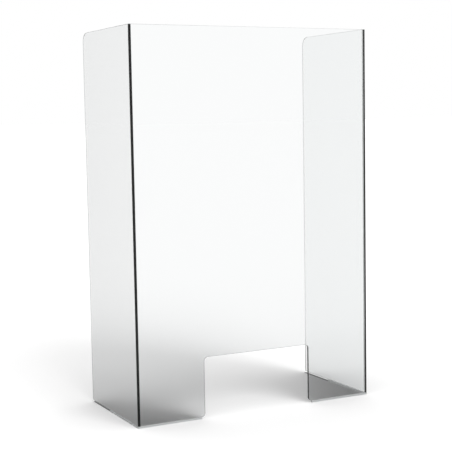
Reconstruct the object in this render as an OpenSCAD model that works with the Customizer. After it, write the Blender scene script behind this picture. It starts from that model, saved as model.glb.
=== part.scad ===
// Free-standing three-sided sneeze guard: a clear front panel with a pass-through at the bottom,
// bonded between two clear wings that stand it upright, on clear self-adhesive strips.
// Millimetres. The origin is at the middle of the footprint on the counter: +Z is up, the front
// panel faces -Y, and the wings run back towards +Y.

/* [Guard] */
// Overall width, across the outer faces of the two wings
guard_w = 662; // [500:1:1200]
// Overall depth, from the front face to the rear edges of the wings
guard_d = 308; // [250:1:600]
// Height of the clear panels, without the strips under them
panel_h = 960; // [600:5:1200]
// Thickness of every panel
panel_t = 6; // [4:0.5:10]

/* [Pass-through] */
// Width of the opening at the bottom of the front panel
pass_w = 300; // [200:5:360]
// Height of the opening above the panel's bottom edge
pass_h = 150; // [100:5:300]
// Radius of the opening's two upper corners
pass_top_r = 10; // [4:0.5:30]
// Radius of the inner bottom corner of each front foot
foot_corner_r = 10; // [4:0.5:20]

/* [Wings] */
// Radius of the top rear corner
wing_top_r = 25; // [10:1:80]
// Radius of the bottom rear corner
wing_bottom_r = 4; // [1:0.5:10]
// Rounding of the outer front edge, the corner that a hand meets
wing_front_r = 2; // [0.5:0.25:3.5]

/* [Bonded corners] */
// Thickness of the cement between the front panel's end and the wing's inner face
seam_t = 0.3; // [0.2:0.1:0.6]
// Radius of the small hollow fillet of cement on the inside of the corner
seam_fillet_r = 1.2; // [0.6:0.2:3]

/* [Strips] */
// Height of the self-adhesive strip
strip_h = 4; // [2:0.5:8]
// Rounding of the strip's two lower edges
strip_r = 0.8; // [0.2:0.1:1.5]
// Thickness of the double-sided tape between the strip and the panel
tape_t = 1; // [0.5:0.25:2]
// Length of the strip under each wing, from its front edge; the rest of the wing stands clear
wing_strip_len = 185; // [120:5:245]
// Gap between two strips that meet
strip_gap = 0.5; // [0.2:0.1:2]

/* [Hidden] */
$fn = 64;

lift = strip_h + tape_t;                    // height of the panels' bottom edges
front_y = -guard_d / 2;                     // front face of the guard
rear_y = guard_d / 2;                       // rear edges of the wings
wing_in_x = guard_w / 2 - panel_t;          // inner face of a wing
front_end_x = wing_in_x - seam_t;           // end of the front panel
foot_in_x = pass_w / 2 + foot_corner_r;     // where the flat underside of a front foot begins
cut = 1;                                    // how far a cutter runs past what it cuts

ACRYLIC = [0.86, 0.93, 0.94, 0.35];
CEMENT = [0.90, 0.93, 0.92, 0.5];
CLEAR_SILICONE = [0.80, 0.83, 0.83, 0.7];
TAPE = [0.93, 0.94, 0.93, 0.8];

// What is cut from a square corner at the origin, with the material in +X +Y, to round it
module corner_waste(r) {
    difference() {
        translate([-cut, -cut]) square(r + cut);
        translate([r, r]) circle(r);
        translate([r, -2 * cut]) square(r + 2 * cut);
        translate([-2 * cut, r]) square(r + 2 * cut);
    }
}

// A spandrel with its square corner at the origin, which fills a corner in +X +Y with a hollow round
module hollow_fillet(r) {
    difference() {
        square(r);
        translate([r, r]) circle(r);
    }
}

// Stands an outline drawn in (X, Z) up, t thick, with its front face at y = 0
module stand_facing_front(t) {
    translate([0, t, 0]) rotate([90, 0, 0]) linear_extrude(height = t) children();
}

// Stands an outline drawn in (Y, Z) up, t thick, towards +X from x = 0
module stand_facing_side(t) {
    rotate([90, 0, 90]) linear_extrude(height = t) children();
}

// Puts a piece of the right-hand side on the left
module on_left() {
    mirror([1, 0, 0]) children();
}

// The opening, with its rounded upper corners, and with the rounding of the two feet below it
module pass_through_outline() {
    difference() {
        translate([-pass_w / 2, -cut]) square([pass_w, pass_h + cut]);
        for (side = [0, 1]) mirror([side, 0])
            translate([pass_w / 2, pass_h]) rotate(180) hollow_fillet(pass_top_r);
    }
    for (side = [0, 1]) mirror([side, 0])
        translate([pass_w / 2, 0]) corner_waste(foot_corner_r);
}

module front_panel() {
    color(ACRYLIC) translate([0, front_y, lift]) stand_facing_front(panel_t)
        difference() {
            translate([-front_end_x, 0]) square([2 * front_end_x, panel_h]);
            pass_through_outline();
        }
}

module wing_outline() {
    difference() {
        translate([front_y, 0]) square([guard_d, panel_h]);
        translate([rear_y, panel_h]) rotate(180) corner_waste(wing_top_r);
        translate([rear_y, 0]) rotate(90) corner_waste(wing_bottom_r);
    }
}

module right_wing() {
    color(ACRYLIC) difference() {
        translate([wing_in_x, 0, lift]) stand_facing_side(panel_t) wing_outline();
        translate([guard_w / 2, front_y, lift - cut]) linear_extrude(height = panel_h + 2 * cut)
            rotate(90) corner_waste(wing_front_r);
    }
}

module left_wing() {
    on_left() right_wing();
}

// Cement film over the front panel's whole end, with a fillet against the wing on the inside
module right_cement_seam() {
    color(CEMENT) translate([0, front_y, lift]) linear_extrude(height = panel_h) {
        translate([front_end_x, 0]) square([seam_t, panel_t]);
        translate([wing_in_x, panel_t]) rotate(90) hollow_fillet(seam_fillet_r);
    }
}

module left_cement_seam() {
    on_left() right_cement_seam();
}

// Strip profile, as wide as a panel is thick, from the counter up, with its lower edges rounded
module strip_profile() {
    difference() {
        square([panel_t, strip_h]);
        corner_waste(strip_r);
        translate([panel_t, 0]) rotate(90) corner_waste(strip_r);
    }
}

// Tape profile, between the strip and the panel
module tape_profile() {
    translate([0, strip_h]) square([panel_t, tape_t]);
}

// Runs a profile under the right foot of the front panel
module along_foot() {
    translate([foot_in_x, front_y, 0]) rotate([90, 0, 90])
        linear_extrude(height = wing_in_x - strip_gap - foot_in_x) children();
}

// Runs a profile under the right wing, back from its front edge
module along_wing() {
    translate([wing_in_x, front_y + wing_strip_len, 0]) rotate([90, 0, 0])
        linear_extrude(height = wing_strip_len) children();
}

module right_foot_strip() {
    color(CLEAR_SILICONE) along_foot() strip_profile();
}

module left_foot_strip() {
    on_left() right_foot_strip();
}

module right_foot_tape() {
    color(TAPE) along_foot() tape_profile();
}

module left_foot_tape() {
    on_left() right_foot_tape();
}

module right_wing_strip() {
    color(CLEAR_SILICONE) along_wing() strip_profile();
}

module left_wing_strip() {
    on_left() right_wing_strip();
}

module right_wing_tape() {
    color(TAPE) along_wing() tape_profile();
}

module left_wing_tape() {
    on_left() right_wing_tape();
}

front_panel();
left_wing();
right_wing();
left_cement_seam();
right_cement_seam();
left_foot_strip();
right_foot_strip();
left_foot_tape();
right_foot_tape();
left_wing_strip();
right_wing_strip();
left_wing_tape();
right_wing_tape();
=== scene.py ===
"""Free-standing sneeze guard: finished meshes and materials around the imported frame.

Three sheets of clear cast acrylic, bonded at two square corners, stand on self-adhesive strips.
Everything is in metres in the frame's own axes: +Z up, the front panel faces -Y, the wings run
back towards +Y, and the counter is at z = 0.
"""

import logging
import math
from collections.abc import Iterable
from dataclasses import dataclass, field
from enum import Enum

import bmesh
import bpy
from mathutils import Euler, Matrix, Vector


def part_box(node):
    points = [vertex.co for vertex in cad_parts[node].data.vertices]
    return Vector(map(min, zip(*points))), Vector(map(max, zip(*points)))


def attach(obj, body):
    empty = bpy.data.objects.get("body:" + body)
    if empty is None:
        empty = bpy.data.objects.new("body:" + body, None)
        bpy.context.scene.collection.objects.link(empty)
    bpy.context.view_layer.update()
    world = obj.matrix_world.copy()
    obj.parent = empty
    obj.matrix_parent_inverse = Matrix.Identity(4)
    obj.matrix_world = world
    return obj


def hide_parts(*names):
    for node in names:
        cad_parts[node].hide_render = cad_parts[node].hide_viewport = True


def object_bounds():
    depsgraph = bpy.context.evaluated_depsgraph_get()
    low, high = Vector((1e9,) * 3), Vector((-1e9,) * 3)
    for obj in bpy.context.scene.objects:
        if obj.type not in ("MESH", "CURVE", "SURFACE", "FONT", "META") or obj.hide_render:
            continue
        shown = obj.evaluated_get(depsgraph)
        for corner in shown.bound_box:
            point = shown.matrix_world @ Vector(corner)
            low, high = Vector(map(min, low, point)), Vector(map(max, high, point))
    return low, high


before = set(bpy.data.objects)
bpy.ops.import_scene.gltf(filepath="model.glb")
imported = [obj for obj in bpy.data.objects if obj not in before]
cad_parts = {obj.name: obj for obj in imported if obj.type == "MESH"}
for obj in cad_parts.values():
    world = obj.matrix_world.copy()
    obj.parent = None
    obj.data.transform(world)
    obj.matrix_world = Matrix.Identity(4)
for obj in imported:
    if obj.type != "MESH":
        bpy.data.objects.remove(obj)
CAD_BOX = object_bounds()

LOG = logging.getLogger("sneeze_guard")
MM = 0.001
BODY = "root"

# Corners that turn by more than this many degrees are shaded as sharp, or are square enough to ease.
SHARP_ANGLE = 50.0
SQUARE_ANGLE = 60.0
# A face whose normal is this close to an axis lies flat across it.
FLAT = 0.999
# Two places closer than this are the same.
TOUCHING = 0.001 * MM

# The Mix node's sockets share their names, so they are reached by number.
MIX_FACTOR = 0
MIX_LEVEL_A = 2
MIX_LEVEL_B = 3
MIX_COLOUR_A = 6
MIX_COLOUR_B = 7
MIXED_LEVEL = 0
MIXED_COLOUR = 2

Colour = tuple[float, float, float, float]
Tree = bpy.types.NodeTree
Socket = bpy.types.NodeSocket
Settings = dict[int | str, object]
Links = dict[int | str, Socket]


class Side(Enum):
    """Which half of the guard a piece belongs to, as seen from the front."""

    LEFT = "left"
    RIGHT = "right"

    @property
    def outward(self) -> int:
        """The sign of X on this side."""
        return -1 if self is Side.LEFT else 1


class Run(Enum):
    """Where a length of strip runs."""

    FOOT = "foot"
    WING = "wing"


class Slot(Enum):
    """The record's material slots."""

    ACRYLIC = "clear_acrylic"
    CEMENT = "acrylic_cement"
    SILICONE = "clear_silicone"
    TAPE = "clear_tape"


def linear(hex_colour: str) -> Colour:
    """Turns an sRGB hex colour to the linear values that shaders take.

    Args:
        hex_colour: Six hex digits, such as "F4F6F6".

    Returns:
        Red, green, blue and an alpha of 1.
    """
    channels = [int(hex_colour[i : i + 2], 16) / 255 for i in (0, 2, 4)]
    red, green, blue = (c / 12.92 if c <= 0.04045 else ((c + 0.055) / 1.055) ** 2.4 for c in channels)
    return red, green, blue, 1.0


def add_node(
    tree: Tree, kind: str, settings: Settings | None = None, links: Links | None = None
) -> bpy.types.Node:
    """Adds one shader node with its settings and incoming links.

    Args:
        tree: The node tree that it goes into.
        kind: Blender's type name without its prefix, such as "TexNoise".
        settings: Values by name or number. A number is an input socket's place, and a name is an
            input socket's, or else one of the node's own properties.
        links: Output sockets, by the name or number of the input that each feeds.

    Returns:
        The new node.
    """
    node = tree.nodes.new("ShaderNode" + kind)
    for name, value in (settings or {}).items():
        if isinstance(name, int) or name in node.inputs:
            node.inputs[name].default_value = value
        else:
            setattr(node, name, value)
    for name, socket in (links or {}).items():
        tree.links.new(socket, node.inputs[name])
    return node


@dataclass(frozen=True)
class Ramp:
    """A straight run from one range of a pattern's values to another, held at both ends."""

    lo: float
    hi: float
    at_lo: float
    at_hi: float

    @property
    def settings(self) -> Settings:
        """The ramp as a Map Range node's settings."""
        return {"From Min": self.lo, "From Max": self.hi, "To Min": self.at_lo, "To Max": self.at_hi}


@dataclass(frozen=True)
class Finish:
    """A material that one slot of a piece is dressed in."""

    label: str

    def shader(self, tree: Tree, place: Socket) -> bpy.types.Node:
        """Builds the shader of this finish.

        Args:
            tree: The material's node tree.
            place: Object coordinates, in metres in the guard's frame.

        Returns:
            The node whose first output is the surface.
        """
        raise NotImplementedError

    def material(self) -> bpy.types.Material:
        """Makes the material, once for all the pieces that share it.

        Returns:
            The material.
        """
        known = bpy.data.materials.get(self.label)
        if known:
            return known
        made = bpy.data.materials.new(self.label)
        made.use_nodes = True
        tree = made.node_tree
        tree.nodes.clear()
        place = add_node(tree, "TexCoord").outputs["Object"]
        surface = self.shader(tree, place).outputs[0]
        add_node(tree, "OutputMaterial", links={"Surface": surface})
        return made


@dataclass(frozen=True)
class CastAcrylicSheet(Finish):
    """Cell-cast acrylic, as it leaves the glass mould: water clear, with a trace of casting wave.

    The eye gets a colourless sheet that shows only by what it mirrors, a hint of haze where it was
    wiped, and hairlines that catch light at a glancing angle.
    """

    label: str = "cast_acrylic_sheet"
    tint: str = "FDFEFE"
    ior: float = 1.49
    wave_size: float = 140 * MM
    wave_detail: float = 1.0
    wave_depth: float = 0.012 * MM
    haze_size: float = 60 * MM
    haze_detail: float = 4.0
    haze_roughness: Ramp = Ramp(0.45, 0.75, 0.0, 0.012)
    hairline_pitch: float = 3 * MM
    hairline_run: float = 90 * MM
    hairline_slope: float = 12.0
    hairline_detail: float = 2.0
    hairline_roughness: Ramp = Ramp(0.62, 0.75, 0.0, 0.02)

    def shader(self, tree: Tree, place: Socket) -> bpy.types.Node:
        """Builds clear acrylic with casting wave, wiped haze and hairlines.

        Args:
            tree: The material's node tree.
            place: Object coordinates.

        Returns:
            The shader node.
        """
        wave = add_node(
            tree,
            "TexNoise",
            {"Scale": 1 / self.wave_size, "Detail": self.wave_detail},
            {"Vector": place},
        )
        bump = add_node(
            tree,
            "Bump",
            {"Strength": 1.0, "Distance": self.wave_depth},
            {"Height": wave.outputs["Fac"]},
        )
        haze = add_node(
            tree,
            "TexNoise",
            {"Scale": 1 / self.haze_size, "Detail": self.haze_detail},
            {"Vector": place},
        )
        wiped = add_node(tree, "MapRange", self.haze_roughness.settings, {"Value": haze.outputs["Fac"]})
        scored = self.hairlines(tree, place)
        rough = add_node(tree, "Math", {"operation": "ADD"}, {0: wiped.outputs["Result"], 1: scored})
        return add_node(
            tree,
            "BsdfPrincipled",
            {"Base Color": linear(self.tint), "IOR": self.ior, "Transmission Weight": 1.0},
            {"Roughness": rough.outputs[0], "Normal": bump.outputs["Normal"]},
        )

    def hairlines(self, tree: Tree, place: Socket) -> Socket:
        """Draws the hairlines that wiping leaves across the sheet.

        Real ones are finer than a render can hold, so they are drawn coarser, as grain in the haze.

        Args:
            tree: The material's node tree.
            place: Object coordinates.

        Returns:
            The roughness that they add.
        """
        slope = (0.0, math.radians(self.hairline_slope), 0.0)
        stretch = (1 / self.hairline_run, 1 / self.hairline_run, 1 / self.hairline_pitch)
        turned = add_node(tree, "Mapping", {"Rotation": slope}, {"Vector": place})
        drawn = add_node(
            tree, "VectorMath", {"operation": "MULTIPLY", 1: stretch}, {0: turned.outputs["Vector"]}
        )
        hairline = add_node(
            tree,
            "TexNoise",
            {"Scale": 1.0, "Detail": self.hairline_detail},
            {"Vector": drawn.outputs["Vector"]},
        )
        scored = add_node(
            tree, "MapRange", self.hairline_roughness.settings, {"Value": hairline.outputs["Fac"]}
        )
        return scored.outputs["Result"]


@dataclass(frozen=True)
class PolishedAcrylicEdge(Finish):
    """The sheet's cut edge, milled and diamond-polished: clear, with fine cutter marks.

    Light that enters it is trapped between the sheet's faces, so it reads as a dark, glossy line.
    """

    label: str = "polished_acrylic_edge"
    tint: str = "EEF4F4"
    ior: float = 1.49
    mark_size: float = 1.6 * MM
    mark_depth: float = 0.006 * MM
    mark_detail: float = 3.0
    mark_roughness: Ramp = Ramp(0.3, 0.7, 0.005, 0.03)

    def shader(self, tree: Tree, place: Socket) -> bpy.types.Node:
        """Builds clear acrylic with cutter marks, drawn coarser than real ones so that they show.

        Args:
            tree: The material's node tree.
            place: Object coordinates.

        Returns:
            The shader node.
        """
        marks = add_node(
            tree,
            "TexNoise",
            {"Scale": 1 / self.mark_size, "Detail": self.mark_detail},
            {"Vector": place},
        )
        bump = add_node(
            tree,
            "Bump",
            {"Strength": 1.0, "Distance": self.mark_depth},
            {"Height": marks.outputs["Fac"]},
        )
        rough = add_node(tree, "MapRange", self.mark_roughness.settings, {"Value": marks.outputs["Fac"]})
        return add_node(
            tree,
            "BsdfPrincipled",
            {"Base Color": linear(self.tint), "IOR": self.ior, "Transmission Weight": 1.0},
            {"Roughness": rough.outputs["Result"], "Normal": bump.outputs["Normal"]},
        )


@dataclass(frozen=True)
class AcrylicCement(Finish):
    """Two-part acrylic cement, cured clear and glossy, with a few trapped bubbles.

    The eye gets a thin bright seam up the corner that is a trace cloudier than the sheets.
    """

    label: str = "cured_acrylic_cement"
    tint: str = "F1F5F4"
    ior: float = 1.48
    transmission: float = 0.95
    bubble_spacing: float = 4 * MM
    bubble_shape: Ramp = Ramp(0.05, 0.16, 1.0, 0.0)
    bubble_height: float = 0.1 * MM
    bubble_strength: float = 0.6
    bubble_roughness: Ramp = Ramp(0.0, 1.0, 0.04, 0.3)

    def shader(self, tree: Tree, place: Socket) -> bpy.types.Node:
        """Builds clear cement with sparse bubbles.

        Args:
            tree: The material's node tree.
            place: Object coordinates.

        Returns:
            The shader node.
        """
        cells = add_node(tree, "TexVoronoi", {"Scale": 1 / self.bubble_spacing}, {"Vector": place})
        bubble = add_node(
            tree, "MapRange", self.bubble_shape.settings, {"Value": cells.outputs["Distance"]}
        ).outputs["Result"]
        bump = add_node(
            tree,
            "Bump",
            {"Strength": self.bubble_strength, "Distance": self.bubble_height},
            {"Height": bubble},
        )
        rough = add_node(tree, "MapRange", self.bubble_roughness.settings, {"Value": bubble})
        return add_node(
            tree,
            "BsdfPrincipled",
            {"Base Color": linear(self.tint), "IOR": self.ior, "Transmission Weight": self.transmission},
            {"Roughness": rough.outputs["Result"], "Normal": bump.outputs["Normal"]},
        )


@dataclass(frozen=True)
class ClearSilicone(Finish):
    """Moulded clear silicone, with a little dust in its skin.

    The eye gets a soft-edged grey-white strip, milky where it is thick, with faint specks.
    """

    label: str = "moulded_clear_silicone"
    tint: str = "F0F3F3"
    dust_tint: str = "D6D9D8"
    ior: float = 1.41
    transmission: float = 0.7
    dust_size: float = 1.5 * MM
    dust_detail: float = 5.0
    dust_cover: Ramp = Ramp(0.55, 0.72, 0.0, 1.0)
    skin_depth: float = 0.05 * MM
    skin_strength: float = 0.4
    skin_roughness: Ramp = Ramp(0.0, 1.0, 0.28, 0.5)

    def shader(self, tree: Tree, place: Socket) -> bpy.types.Node:
        """Builds milky silicone with specks of dust.

        Args:
            tree: The material's node tree.
            place: Object coordinates.

        Returns:
            The shader node.
        """
        dust = add_node(
            tree,
            "TexNoise",
            {"Scale": 1 / self.dust_size, "Detail": self.dust_detail},
            {"Vector": place},
        )
        speck = add_node(
            tree, "MapRange", self.dust_cover.settings, {"Value": dust.outputs["Fac"]}
        ).outputs["Result"]
        tints = {MIX_COLOUR_A: linear(self.tint), MIX_COLOUR_B: linear(self.dust_tint)}
        colour = add_node(tree, "Mix", {"data_type": "RGBA"} | tints, {MIX_FACTOR: speck})
        bump = add_node(
            tree,
            "Bump",
            {"Strength": self.skin_strength, "Distance": self.skin_depth},
            {"Height": dust.outputs["Fac"]},
        )
        rough = add_node(tree, "MapRange", self.skin_roughness.settings, {"Value": speck})
        return add_node(
            tree,
            "BsdfPrincipled",
            {"IOR": self.ior, "Transmission Weight": self.transmission},
            {
                "Base Color": colour.outputs[MIXED_COLOUR],
                "Roughness": rough.outputs["Result"],
                "Normal": bump.outputs["Normal"],
            },
        )


@dataclass(frozen=True)
class FoamTape(Finish):
    """Clear acrylic foam tape, with fine cells.

    The eye gets a cloudy, paler line between the strip and the sheet.
    """

    label: str = "clear_acrylic_foam_tape"
    tint: str = "F2F4F3"
    ior: float = 1.47
    transmission: float = 0.6
    cell_size: float = 0.6 * MM
    cell_depth: float = 0.05 * MM
    cell_strength: float = 0.5
    cell_roughness: Ramp = Ramp(0.0, 0.6, 0.3, 0.55)

    def shader(self, tree: Tree, place: Socket) -> bpy.types.Node:
        """Builds cloudy tape with fine foam cells.

        Args:
            tree: The material's node tree.
            place: Object coordinates.

        Returns:
            The shader node.
        """
        cells = add_node(
            tree, "TexVoronoi", {"Scale": 1 / self.cell_size}, {"Vector": place}
        ).outputs["Distance"]
        bump = add_node(
            tree,
            "Bump",
            {"Strength": self.cell_strength, "Distance": self.cell_depth},
            {"Height": cells},
        )
        rough = add_node(tree, "MapRange", self.cell_roughness.settings, {"Value": cells})
        return add_node(
            tree,
            "BsdfPrincipled",
            {"Base Color": linear(self.tint), "IOR": self.ior, "Transmission Weight": self.transmission},
            {"Roughness": rough.outputs["Result"], "Normal": bump.outputs["Normal"]},
        )


def bevel(
    bm: bmesh.types.BMesh, geom: Iterable, offset: float, segments: int, affect: str = "EDGES"
) -> None:
    """Rounds edges, or the corners of a flat outline, to a circular profile.

    Args:
        bm: The mesh.
        geom: The edges or vertices to round.
        offset: The radius, for a square corner.
        segments: How many facets the round has.
        affect: "EDGES" or "VERTICES".
    """
    bmesh.ops.bevel(
        bm, geom=list(geom), offset=offset, offset_type="OFFSET", segments=segments, profile=0.5,
        affect=affect, material=-1, clamp_overlap=False,
    )


def raise_faces(bm: bmesh.types.BMesh, depth: Vector) -> None:
    """Turns a flat outline into a solid.

    Args:
        bm: The mesh, with only the outline's face in it.
        depth: The vector from the outline to the solid's other end.
    """
    raised = bmesh.ops.extrude_face_region(bm, geom=list(bm.faces))
    moved = [item for item in raised["geom"] if isinstance(item, bmesh.types.BMVert)]
    bmesh.ops.translate(bm, verts=moved, vec=depth)


def square_edges(edges: Iterable[bmesh.types.BMEdge]) -> list[bmesh.types.BMEdge]:
    """Picks out the edges that are square enough to be eased.

    Args:
        edges: The edges to choose from.

    Returns:
        Those that turn by more than SQUARE_ANGLE.
    """
    return [edge for edge in edges if edge.calc_face_angle() > math.radians(SQUARE_ANGLE)]


@dataclass
class Piece:
    """One physical piece: it replaces its CAD node and rides on the guard's only body."""

    node: str
    slot: Slot

    @property
    def name(self) -> str:
        """The name of the finished piece."""
        return self.node + "_finished"

    @property
    def box(self) -> tuple[Vector, Vector]:
        """The CAD node's lowest and highest corners."""
        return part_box(self.node)

    def shape(self, bm: bmesh.types.BMesh) -> None:
        """Models the piece in place.

        Args:
            bm: An empty mesh, which it fills.
        """
        raise NotImplementedError

    def finishes(self) -> list[Finish]:
        """The finishes, in the order of the mesh's material indices."""
        raise NotImplementedError

    def build(self) -> bpy.types.Object:
        """Models, dresses and mounts the piece.

        Returns:
            The finished object, at the origin, with its place in its mesh.
        """
        bm = bmesh.new()
        self.shape(bm)
        bmesh.ops.recalc_face_normals(bm, faces=bm.faces)
        for face in bm.faces:
            face.smooth = True
        mesh = bpy.data.meshes.new(self.name)
        bm.to_mesh(mesh)
        bm.free()
        mesh.set_sharp_from_angle(angle=math.radians(SHARP_ANGLE))
        for finish in self.finishes():
            mesh.materials.append(finish.material())
        made = bpy.data.objects.new(self.name, mesh)
        bpy.context.scene.collection.objects.link(made)
        # Keeps the big flat faces flat beside their eased edges, so that what they mirror is straight.
        even = made.modifiers.new("even_shading", "WEIGHTED_NORMAL")
        even.keep_sharp = True
        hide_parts(self.node)
        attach(made, BODY)
        return made


@dataclass
class Sheet(Piece):
    """A flat piece cut from acrylic sheet, with its edges polished and eased."""

    slot: Slot = Slot.ACRYLIC
    arris: float = 0.25 * MM
    arris_segments: int = 2
    corner_segments: int = 16

    def finishes(self) -> list[Finish]:
        """Sheet faces first, then the polished edges."""
        return [CastAcrylicSheet(), PolishedAcrylicEdge()]

    def raise_outline(
        self, bm: bmesh.types.BMesh, corners: list[Vector], rounds: dict[int, float], depth: Vector
    ) -> None:
        """Turns an outline with rounded corners into a slab.

        Args:
            bm: The mesh.
            corners: The outline's square corners, in order.
            rounds: Radii, by the number of the corner.
            depth: The vector from the outline to the sheet's other face.
        """
        verts = [bm.verts.new(corner) for corner in corners]
        bm.faces.new(verts)
        for number, radius in rounds.items():
            bevel(bm, [verts[number]], radius, self.corner_segments, "VERTICES")
        raise_faces(bm, depth)
        bmesh.ops.recalc_face_normals(bm, faces=bm.faces)

    def is_broad(self, face: bmesh.types.BMFace, thickness_axis: int) -> bool:
        """Tells whether a face is one of the sheet's two broad faces.

        Args:
            face: The face.
            thickness_axis: 0, 1 or 2, the axis that the thickness runs along.

        Returns:
            True if it lies flat across that axis.
        """
        return abs(face.normal[thickness_axis]) > FLAT

    def ease(self, bm: bmesh.types.BMesh, thickness_axis: int) -> None:
        """Takes the sharpness off the edges round both faces, and marks all but the faces as edge.

        Args:
            bm: The slab.
            thickness_axis: 0, 1 or 2, the axis that the thickness runs along.
        """
        rim = []
        for edge in bm.edges:
            broad = [self.is_broad(face, thickness_axis) for face in edge.link_faces]
            if broad in ([True, False], [False, True]):
                rim.append(edge)
        bevel(bm, square_edges(rim), self.arris, self.arris_segments)
        for face in bm.faces:
            face.material_index = 0 if self.is_broad(face, thickness_axis) else 1


@dataclass
class FrontPanel(Sheet):
    """The front panel, with the pass-through cut up from its bottom edge."""

    node: str = "front_panel"
    pass_width: float = 300 * MM
    pass_height: float = 150 * MM
    pass_radius: float = 10 * MM
    foot_radius: float = 10 * MM

    def shape(self, bm: bmesh.types.BMesh) -> None:
        """Models the panel: two feet, the pass-through between them, and square outer corners.

        Args:
            bm: An empty mesh, which it fills.
        """
        lo, hi = self.box
        half, sill = self.pass_width / 2, lo.z + self.pass_height
        corners = [
            Vector((lo.x, lo.y, lo.z)),
            Vector((-half, lo.y, lo.z)),
            Vector((-half, lo.y, sill)),
            Vector((half, lo.y, sill)),
            Vector((half, lo.y, lo.z)),
            Vector((hi.x, lo.y, lo.z)),
            Vector((hi.x, lo.y, hi.z)),
            Vector((lo.x, lo.y, hi.z)),
        ]
        rounds = {1: self.foot_radius, 2: self.pass_radius, 3: self.pass_radius, 4: self.foot_radius}
        self.raise_outline(bm, corners, rounds, Vector((0, hi.y - lo.y, 0)))
        self.ease(bm, thickness_axis=1)


@dataclass
class Wing(Sheet):
    """A side wing, rounded at its rear corners and along its outer front edge."""

    node: str = ""
    side: Side = Side.LEFT
    top_radius: float = 25 * MM
    bottom_radius: float = 4 * MM
    front_radius: float = 2 * MM
    front_segments: int = 6

    def __post_init__(self) -> None:
        """Names the node after the side."""
        self.node = f"{self.side.value}_wing"

    def shape(self, bm: bmesh.types.BMesh) -> None:
        """Models the wing from its outer face inwards.

        Args:
            bm: An empty mesh, which it fills.
        """
        lo, hi = self.box
        outer, inner = (lo.x, hi.x) if self.side is Side.LEFT else (hi.x, lo.x)
        corners = [
            Vector((outer, lo.y, lo.z)),
            Vector((outer, hi.y, lo.z)),
            Vector((outer, hi.y, hi.z)),
            Vector((outer, lo.y, hi.z)),
        ]
        rounds = {1: self.bottom_radius, 2: self.top_radius}
        self.raise_outline(bm, corners, rounds, Vector((inner - outer, 0, 0)))
        front = [edge for edge in bm.edges if self.is_outer_front(edge, outer, lo.y)]
        bevel(bm, front, self.front_radius, self.front_segments)
        self.ease(bm, thickness_axis=0)

    def is_outer_front(self, edge: bmesh.types.BMEdge, outer: float, front: float) -> bool:
        """Tells whether an edge is the wing's outer front corner, which a hand meets.

        Args:
            edge: The edge.
            outer: X of the wing's outer face.
            front: Y of the wing's front edge.

        Returns:
            True if both its ends are there.
        """
        ends = [vert.co for vert in edge.verts]
        return all(abs(end.x - outer) < TOUCHING and abs(end.y - front) < TOUCHING for end in ends)


@dataclass
class CementSeam(Piece):
    """The cement between the front panel's end and a wing, with its hollow fillet inside."""

    node: str = ""
    slot: Slot = Slot.CEMENT
    side: Side = Side.LEFT
    film: float = 0.3 * MM
    clearance: float = 0.02 * MM
    fillet_segments: int = 8

    def __post_init__(self) -> None:
        """Names the node after the side."""
        self.node = f"{self.side.value}_cement_seam"

    def finishes(self) -> list[Finish]:
        """Cement all over."""
        return [AcrylicCement()]

    def shape(self, bm: bmesh.types.BMesh) -> None:
        """Draws the seam's section and runs it up the corner.

        It stands a hair clear of the sheets, so that two clear faces never coincide.

        Args:
            bm: An empty mesh, which it fills.
        """
        lo, hi = self.box
        wing_x = hi.x if self.side is Side.RIGHT else lo.x
        inward = -self.side.outward
        panel_lo, panel_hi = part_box("front_panel")
        thickness = panel_hi.y - panel_lo.y
        fillet = (hi.y - lo.y) - thickness
        gap = self.clearance
        wing, end = wing_x + inward * gap, wing_x + inward * (self.film - gap)
        tip = wing_x + inward * fillet
        back = lo.y + thickness + gap
        section = [
            Vector((end, lo.y + gap, lo.z)),
            Vector((wing, lo.y + gap, lo.z)),
            Vector((wing, hi.y, lo.z)),
            Vector((wing + inward * gap, hi.y, lo.z)),
            Vector((wing + inward * gap, back + gap, lo.z)),
            Vector((tip, back + gap, lo.z)),
            Vector((tip, back, lo.z)),
            Vector((end, back, lo.z)),
        ]
        verts = [bm.verts.new(corner) for corner in section]
        bm.faces.new(verts)
        # The round stops a gap short of the ends of the two arms that meet at the inside corner.
        inside_corner, arm = verts[4], fillet - 2 * gap
        bevel(bm, [inside_corner], arm - gap, self.fillet_segments, "VERTICES")
        raise_faces(bm, Vector((0, 0, hi.z - lo.z)))


@dataclass
class Bar(Piece):
    """A straight length of strip or tape under a panel's edge."""

    lower_round: float = 0.8 * MM
    lower_segments: int = 5
    arris: float = 0.15 * MM
    arris_segments: int = 2
    top_clearance: float = 0.02 * MM
    finish: Finish = field(default_factory=ClearSilicone)

    def finishes(self) -> list[Finish]:
        """One finish all over."""
        return [self.finish]

    def shape(self, bm: bmesh.types.BMesh) -> None:
        """Models the bar in its node's box, with its long lower edges rounded and the rest eased.

        Args:
            bm: An empty mesh, which it fills.
        """
        lo, hi = self.box
        size = hi - lo - Vector((0, 0, self.top_clearance))
        centre = (lo + hi - Vector((0, 0, self.top_clearance))) / 2
        bmesh.ops.create_cube(bm, size=1.0, matrix=Matrix.LocRotScale(centre, None, size))
        if self.lower_round:
            lower = [edge for edge in bm.edges if self.is_long_lower(edge, size, centre.z)]
            bevel(bm, lower, self.lower_round, self.lower_segments)
        bevel(bm, square_edges(bm.edges), self.arris, self.arris_segments)

    def is_long_lower(self, edge: bmesh.types.BMEdge, size: Vector, middle: float) -> bool:
        """Tells whether an edge is one of the two that lie along the counter.

        Args:
            edge: The edge.
            size: The bar's length, width and height.
            middle: Z of the bar's middle.

        Returns:
            True if it runs the bar's length, below its middle.
        """
        ends = [vert.co for vert in edge.verts]
        return edge.calc_length() > max(size) / 2 and all(end.z < middle for end in ends)


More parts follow.
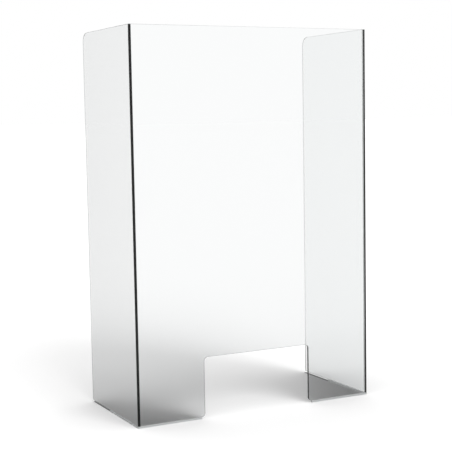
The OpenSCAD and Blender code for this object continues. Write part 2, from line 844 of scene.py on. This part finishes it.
@dataclass
class StripRun:
    """One length of self-adhesive strip with its tape."""

    side: Side
    run: Run

    def build(self) -> list[bpy.types.Object]:
        """Builds the strip and then the tape above it.

        Returns:
            The two finished pieces.
        """
        name = f"{self.side.value}_{self.run.value}"
        strip = Bar(node=f"{name}_strip", slot=Slot.SILICONE)
        tape = Bar(node=f"{name}_tape", slot=Slot.TAPE, finish=FoamTape(), lower_round=0.0)
        return [strip.build(), tape.build()]


@dataclass
class Corner:
    """One side of the guard: its wing, the seam that bonds it on, and the strips under that side."""

    side: Side

    def build(self) -> list[bpy.types.Object]:
        """Builds the side's pieces from the top down.

        Returns:
            The finished pieces.
        """
        made = [Wing(side=self.side).build(), CementSeam(side=self.side).build()]
        for run in Run:
            made += StripRun(self.side, run).build()
        return made


@dataclass
class Studio:
    """The pale floor, the soft light and the camera."""

    floor_size: float = 400.0
    floor_colour: str = "F2F2F2"
    # Painted light: the glow that the floor gets where it is seen bare, which lightens the shade there
    floor_painted_glow: float = 0.19
    # Painted shade: the dark line painted on the floor under the rear of each wing, a painted contact
    # shadow
    painted_shadow_colour: str = "8C8C8C"
    painted_shadow_width: float = 8 * MM
    painted_shadow_fade: float = 3 * MM
    # The room straight on, and as the sheets mirror it from in front and from behind
    background: float = 1.0
    mirrored_front: float = 0.7
    mirrored_back: float = 0.53
    room_turn: float = 0.4
    # Painted shade: the mirrored floor is painted dimmer again close to the guard
    near_floor: float = 0.42
    far_floor: float = 0.78
    painted_shade_level_near_guard: float = 0.69
    ambient: float = 0.865
    sun_azimuth: float = 9.0
    sun_elevation: float = 25.0
    sun_spread: float = 45.0
    sun_strength: float = 1.92
    aim: Vector = field(default_factory=lambda: Vector((-0.0049, 0.0, 0.4604)))
    camera_distance: float = 2.956
    camera_azimuth: float = -27.117
    camera_elevation: float = 5.468
    camera_roll: float = -0.988
    lens: float = 89.73

    def around(self, azimuth: float, elevation: float) -> Vector:
        """The unit vector from the guard towards a place round it.

        Args:
            azimuth: Degrees round from straight ahead, positive towards +X.
            elevation: Degrees above the counter.

        Returns:
            The direction.
        """
        a, e = math.radians(azimuth), math.radians(elevation)
        return Vector((math.sin(a) * math.cos(e), -math.cos(a) * math.cos(e), math.sin(e)))

    def was_mirrored(self, tree: Tree) -> Socket:
        """Tells light that has been mirrored in a sheet on its way from light that hasn't.

        Args:
            tree: The node tree.

        Returns:
            A socket that is 1 for mirrored light, and else 0.
        """
        depth = add_node(tree, "LightPath").outputs["Glossy Depth"]
        # The node's own threshold, 0.5, stands between none and one.
        return add_node(tree, "Math", {"operation": "GREATER_THAN"}, {0: depth}).outputs[0]

    def room_level(self, tree: Tree, place: Socket) -> Socket:
        """Sets how bright the room is where the sheets mirror it: brighter in front than behind.

        Args:
            tree: The node tree.
            place: A direction or a place, of which Y counts.

        Returns:
            The level's socket.
        """
        along = add_node(tree, "SeparateXYZ", links={"Vector": place}).outputs["Y"]
        turn = Ramp(-self.room_turn, self.room_turn, self.mirrored_front, self.mirrored_back)
        return add_node(tree, "MapRange", turn.settings, {"Value": along}).outputs["Result"]

    def painted_shadow_under_wings(self, tree: Tree, place: Socket) -> Socket:
        """Marks where a contact shadow is painted on the floor: right under the rear of each wing,
        behind the strips.

        Args:
            tree: The node tree.
            place: Object coordinates on the floor.

        Returns:
            A socket that is 1 there, and 0 elsewhere.
        """
        axes = add_node(tree, "SeparateXYZ", links={"Vector": place}).outputs
        across = add_node(tree, "Math", {"operation": "ABSOLUTE"}, {0: axes["X"]}).outputs[0]
        outer, rear = CAD_BOX[1][0], CAD_BOX[1][1]
        inner = outer - self.painted_shadow_width
        strip_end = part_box("left_wing_strip")[1].y
        fade = self.painted_shadow_fade
        limits = [
            (across, Ramp(inner - fade, inner, 0.0, 1.0)),
            (across, Ramp(outer - fade, outer, 1.0, 0.0)),
            (axes["Y"], Ramp(strip_end - fade, strip_end, 0.0, 1.0)),
            (axes["Y"], Ramp(rear, rear + fade, 1.0, 0.0)),
        ]
        marks = [
            add_node(tree, "MapRange", limit.settings, {"Value": along}).outputs["Result"]
            for along, limit in limits
        ]
        inside = marks[0]
        for mark in marks[1:]:
            inside = add_node(tree, "Math", {"operation": "MULTIPLY"}, {0: inside, 1: mark}).outputs[0]
        return inside

    def bare_floor(self, tree: Tree, place: Socket) -> Socket:
        """Builds the floor as it is seen straight on and through the sheets.

        Seen bare it glows a little, painted light that makes it a shade lighter than through the sheets.
        It is painted darkest in the slot under the rear of each wing, a painted contact shadow, and has
        no glow there.

        Args:
            tree: The floor's node tree.
            place: Object coordinates on the floor.

        Returns:
            The surface's socket.
        """
        painted_shadow_mask = self.painted_shadow_under_wings(tree, place)
        # Painted shade: the floor's colour turns dark grey under the rear of each wing, standing in for
        # its contact shadow.
        tints = {MIX_COLOUR_A: linear(self.floor_colour), MIX_COLOUR_B: linear(self.painted_shadow_colour)}
        paint = add_node(tree, "Mix", {"data_type": "RGBA"} | tints, {MIX_FACTOR: painted_shadow_mask})
        matt = add_node(tree, "BsdfDiffuse", links={"Color": paint.outputs[MIXED_COLOUR]})
        glow_outside_painted_shadow = add_node(
            tree, "MapRange", Ramp(0.0, 1.0, self.floor_painted_glow, 0.0).settings, {"Value": painted_shadow_mask}
        )
        # Painted light: the floor glows where it is seen straight on, except under the painted shadow.
        bare = add_node(tree, "LightPath").outputs["Is Camera Ray"]
        painted_glow_level = add_node(
            tree, "Math", {"operation": "MULTIPLY"}, {0: bare, 1: glow_outside_painted_shadow.outputs["Result"]}
        )
        glow = add_node(tree, "Emission", links={"Strength": painted_glow_level.outputs[0]})
        return add_node(tree, "AddShader", links={0: matt.outputs[0], 1: glow.outputs[0]}).outputs[0]

    def mirrored_floor(self, tree: Tree, place: Socket) -> Socket:
        """Builds the floor as the sheets mirror it: a glow as dim as the room, painted dimmer near the
        guard as painted shade.

        Args:
            tree: The floor's node tree.
            place: Object coordinates on the floor.

        Returns:
            The surface's socket.
        """
        reach = add_node(tree, "VectorMath", {"operation": "LENGTH"}, {0: place}).outputs["Value"]
        shade = Ramp(self.near_floor, self.far_floor, self.painted_shade_level_near_guard, 1.0)
        near = add_node(tree, "MapRange", shade.settings, {"Value": reach})
        level = add_node(
            tree,
            "Math",
            {"operation": "MULTIPLY"},
            {0: self.room_level(tree, place), 1: near.outputs["Result"]},
        )
        return add_node(tree, "Emission", links={"Strength": level.outputs[0]}).outputs[0]

    def lay_floor(self) -> None:
        """Lays a matt white floor, which reaches out of sight."""
        bm = bmesh.new()
        bmesh.ops.create_grid(bm, x_segments=1, y_segments=1, size=self.floor_size / 2)
        mesh = bpy.data.meshes.new("floor")
        bm.to_mesh(mesh)
        bm.free()
        paint = bpy.data.materials.new("matt_white_floor")
        paint.use_nodes = True
        tree = paint.node_tree
        tree.nodes.clear()
        place = add_node(tree, "TexCoord").outputs["Object"]
        surface = add_node(
            tree,
            "MixShader",
            links={
                0: self.was_mirrored(tree),
                1: self.bare_floor(tree, place),
                2: self.mirrored_floor(tree, place),
            },
        )
        add_node(tree, "OutputMaterial", links={"Surface": surface.outputs[0]})
        mesh.materials.append(paint)
        floor = bpy.data.objects.new("floor", mesh)
        bpy.context.scene.collection.objects.link(floor)

    def light_world(self) -> None:
        """Lights the room.

        There is a white backdrop straight on and through the sheets, a dimmer room in what they
        mirror, and an even ambient light on the floor.
        """
        world = bpy.data.worlds.new("studio")
        bpy.context.scene.world = world
        world.use_nodes = True
        tree = world.node_tree
        tree.nodes.clear()
        diffuse = add_node(tree, "LightPath").outputs["Is Diffuse Ray"]
        straight = add_node(
            tree, "MapRange", Ramp(0.0, 1.0, self.background, self.ambient).settings, {"Value": diffuse}
        )
        direction = add_node(tree, "TexCoord").outputs["Generated"]
        level = add_node(
            tree,
            "Mix",
            {"data_type": "FLOAT"},
            {
                MIX_FACTOR: self.was_mirrored(tree),
                MIX_LEVEL_A: straight.outputs["Result"],
                MIX_LEVEL_B: self.room_level(tree, direction),
            },
        )
        backdrop = add_node(
            tree, "Background", {"Color": linear("FFFFFF")}, {"Strength": level.outputs[MIXED_LEVEL]}
        )
        add_node(tree, "OutputWorld", links={"Surface": backdrop.outputs[0]})

    def hang_sun(self) -> None:
        """Hangs one broad soft light, far off so that it is even, and not mirrored in the sheets."""
        data = bpy.data.lights.new("softbox", "SUN")
        data.angle = math.radians(self.sun_spread)
        data.energy = self.sun_strength
        sun = bpy.data.objects.new("softbox", data)
        towards = self.around(self.sun_azimuth, self.sun_elevation)
        sun.rotation_euler = towards.to_track_quat("Z", "Y").to_euler()
        sun.visible_glossy = False
        sun.visible_transmission = False
        bpy.context.scene.collection.objects.link(sun)

    def place_camera(self) -> None:
        """Stands the camera off the guard's left front corner, a little above its middle."""
        data = bpy.data.cameras.new("camera")
        data.lens = self.lens
        camera = bpy.data.objects.new("camera", data)
        back = self.around(self.camera_azimuth, self.camera_elevation)
        camera.location = self.aim + back * self.camera_distance
        roll = Euler((0, 0, math.radians(self.camera_roll))).to_quaternion()
        camera.rotation_euler = (back.to_track_quat("Z", "Y") @ roll).to_euler()
        bpy.context.scene.collection.objects.link(camera)
        bpy.context.scene.camera = camera

    def build(self) -> None:
        """Sets up the room and the way that light and colour are handled.

        Caustics are off, so the clear sheets cast soft grey shadows.
        """
        scene = bpy.context.scene
        scene.view_settings.view_transform = "Standard"
        scene.cycles.caustics_refractive = False
        scene.cycles.caustics_reflective = False
        self.lay_floor()
        self.light_world()
        self.hang_sun()
        self.place_camera()


def main() -> None:
    """Builds the guard and the room round it, and reports each piece."""
    pieces = [FrontPanel().build()]
    for side in Side:
        pieces += Corner(side).build()
    Studio().build()
    for piece in pieces:
        LOG.info("%s: %d faces", piece.name, len(piece.data.polygons))


if __name__ == "__main__":
    logging.basicConfig(level=logging.INFO, format="%(name)s: %(message)s")
    main()
